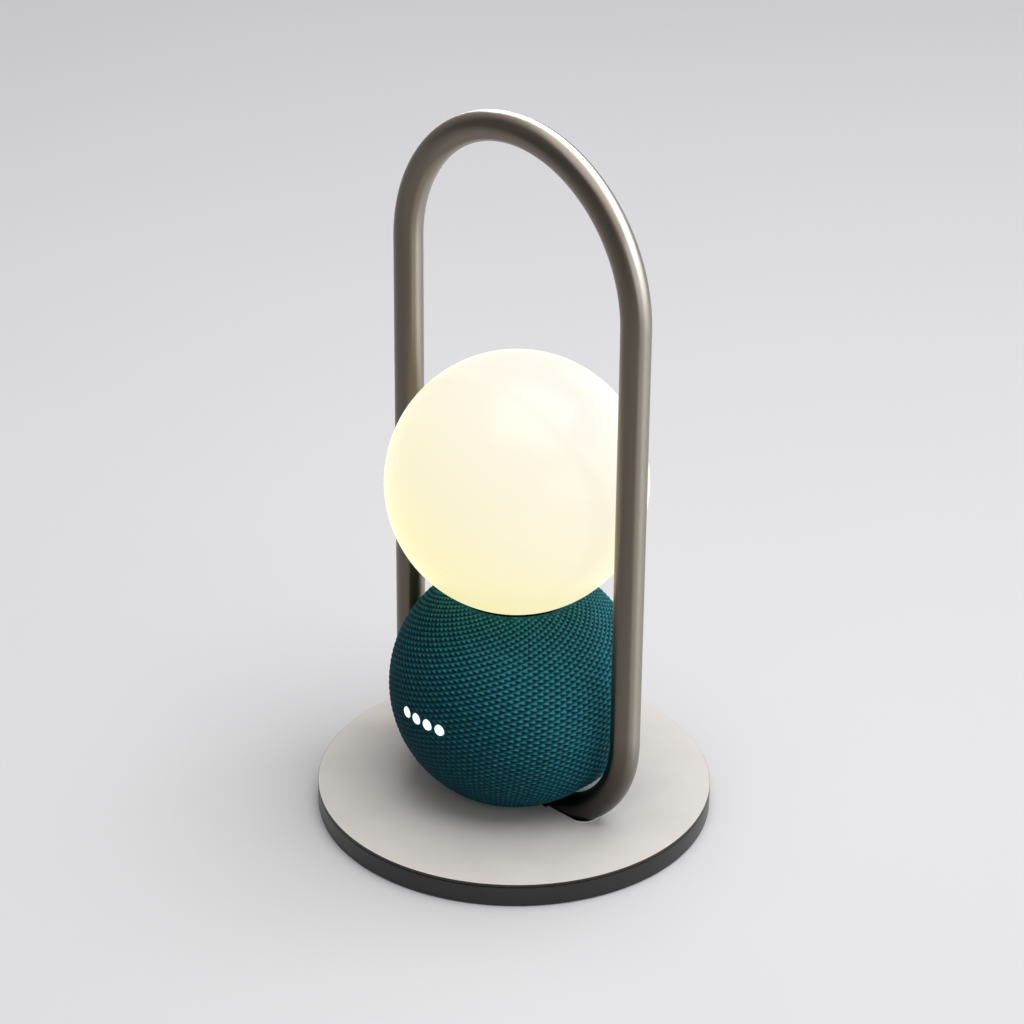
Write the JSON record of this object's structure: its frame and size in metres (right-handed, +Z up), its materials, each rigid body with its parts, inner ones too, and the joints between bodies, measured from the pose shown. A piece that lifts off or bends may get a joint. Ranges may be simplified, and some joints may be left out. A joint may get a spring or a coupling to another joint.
{
  "type": "smart speaker lamp",
  "caption": "Ball speaker in a knitted cover with an opal globe lamp on top, on a round weighted base, inside a bent tube loop that is the handle.",
  "frame": {"origin": "centre of the underside of the foot pad", "axes": "+Z up; the loop stands in the XZ plane; the front, with the four status lights, faces -Y"},
  "size_m": [0.1592, 0.1592, 0.2951],
  "materials": {
    "loop_bronze": "satin",
    "base_dark": "matte",
    "base_pale": "fine matte",
    "bright_trim": "satin",
    "steel": "plain",
    "rubber": "matte",
    "knit": "coarse knit",
    "housing": "moulded",
    "panel": "fine moulded grain",
    "circuit_board": "solder mask",
    "aluminium": "machined",
    "paper_cone": "pressed",
    "ferrite": "sintered",
    "battery_wrap": "shrink film",
    "opal_glass": "opal, lit from inside",
    "lamp_diffuser": "translucent",
    "status_light": "lit"
  },
  "bodies": {
    "root": {"foot_pad": "rubber", "base_pan": "base_dark", "base_weight": "steel", "base_cover": "base_pale", "slot_trim_right": "bright_trim", "slot_trim_left": "bright_trim", "base_screw_1": "steel", "base_screw_2": "steel", "base_screw_3": "steel", "base_screw_4": "steel", "loop_tube": "loop_bronze", "loop_joiner": "steel", "loop_clamp": "steel", "clamp_screw_1": "steel", "clamp_screw_2": "steel", "lower_housing": "housing", "upper_housing": "housing", "fabric_sleeve": "knit", "rear_panel": "panel", "control_board": "circuit_board", "slide_switch": "steel", "tact_switch": "steel", "usb_inlet": "steel", "light_pipe_1": "status_light", "light_pipe_2": "status_light", "light_pipe_3": "status_light", "light_pipe_4": "status_light", "led_board": "circuit_board", "sound_deflector": "housing", "driver_baffle": "housing", "driver_basket": "base_dark", "driver_magnet": "ferrite", "driver_yoke": "steel", "radiator_frame_right": "housing", "radiator_frame_left": "housing", "chassis_plate": "aluminium", "main_board": "circuit_board", "processor_shield": "steel", "battery_pack": "battery_wrap", "globe": "opal_glass", "globe_collar": "base_dark", "globe_gasket": "rubber", "globe_snap_ring": "steel", "lamp_heat_sink": "aluminium", "lamp_led_board": "circuit_board", "lamp_diffuser": "lamp_diffuser"},
    "mute_switch": {"mute_switch": "rubber"},
    "power_button": {"power_button": "rubber"},
    "driver_cone": {"driver_cone": "paper_cone", "driver_surround": "rubber"},
    "radiator_right": {"radiator_right": "rubber"},
    "radiator_left": {"radiator_left": "rubber"}
  },
  "joints": [
    {"name": "mute_slide", "type": "slide", "parent": "root", "child": "mute_switch", "axis": [1, 0, 0], "range_m": [0, 0.0022]},
    {"name": "power_press", "type": "slide", "parent": "root", "child": "power_button", "axis": [0, -1, 0], "range_m": [0, 0.0008], "stiffness_N_per_m": 1500, "springref_m": -0.0005},
    {"name": "cone_stroke", "type": "slide", "parent": "root", "child": "driver_cone", "axis": [0, 0, 1], "range_m": [-0.0015, 0.0015], "stiffness_N_per_m": 1200},
    {"name": "radiator_right_stroke", "type": "slide", "parent": "root", "child": "radiator_right", "axis": [1, 0, 0], "range_m": [-0.002, 0.002], "stiffness_N_per_m": 600},
    {"name": "radiator_left_stroke", "type": "slide", "parent": "root", "child": "radiator_left", "axis": [-1, 0, 0], "range_m": [-0.002, 0.002], "stiffness_N_per_m": 600}
  ]
}
